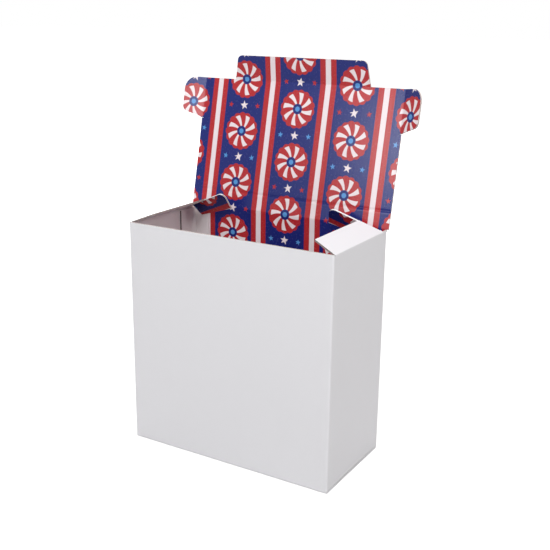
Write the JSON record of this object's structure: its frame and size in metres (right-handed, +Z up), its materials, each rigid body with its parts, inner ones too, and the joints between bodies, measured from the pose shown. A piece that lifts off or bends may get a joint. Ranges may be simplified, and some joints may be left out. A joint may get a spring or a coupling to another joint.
{
  "type": "corrugated mailer box",
  "caption": "Upright folded corrugated mailer box with an open top, a hinged tuck lid with two side ears, and two raised dust flaps.",
  "frame": {"origin": "middle of the box's base, on the surface it stands on", "axes": "+X to the right along the front, +Y from the front to the back, where the lid is hinged, +Z up"},
  "size_m": [0.2468, 0.1248, 0.3474],
  "materials": {
    "white_board": "white-lined corrugated board, satin",
    "printed_board": "white-lined corrugated board, printed on its inner side, slightly glossy"
  },
  "bodies": {
    "carton": {"carton_body": "white_board"},
    "dust_left": {"dust_flap_left": "white_board"},
    "dust_right": {"dust_flap_right": "white_board"},
    "spine": {"lid_spine": "printed_board"},
    "lid": {"lid_panel": "printed_board"},
    "tuck": {"tuck_flap": "printed_board"},
    "ear_left": {"lid_ear_left": "printed_board"},
    "ear_right": {"lid_ear_right": "printed_board"}
  },
  "joints": [
    {"name": "dust_left_fold", "type": "hinge", "parent": "carton", "child": "dust_left", "pos_m": [-0.10075, 0, 0.20675], "axis": [0, -1, 0], "range_deg": [-22.5, 157.5]},
    {"name": "dust_right_fold", "type": "hinge", "parent": "carton", "child": "dust_right", "pos_m": [0.10075, 0, 0.20675], "axis": [0, 1, 0], "range_deg": [-22.5, 157.5]},
    {"name": "spine_fold", "type": "hinge", "parent": "carton", "child": "spine", "pos_m": [0, 0.04925, 0.20825], "axis": [-1, 0, 0], "range_deg": [-12, 78]},
    {"name": "lid_fold", "type": "hinge", "parent": "spine", "child": "lid", "pos_m": [0, 0.05237, 0.22292], "axis": [-1, 0, 0], "range_deg": [-90, 90]},
    {"name": "tuck_fold", "type": "hinge", "parent": "lid", "child": "tuck", "pos_m": [0, 0.0741, 0.32514], "axis": [-1, 0, 0], "range_deg": [-73, 17]},
    {"name": "ear_left_fold", "type": "hinge", "parent": "lid", "child": "ear_left", "pos_m": [-0.1026, 0.0741, 0.32514], "axis": [0, -0.2079, -0.9781], "range_deg": [-80, 10]},
    {"name": "ear_right_fold", "type": "hinge", "parent": "lid", "child": "ear_right", "pos_m": [0.1026, 0.0741, 0.32514], "axis": [0, 0.2079, 0.9781], "range_deg": [-59, 31]}
  ]
}
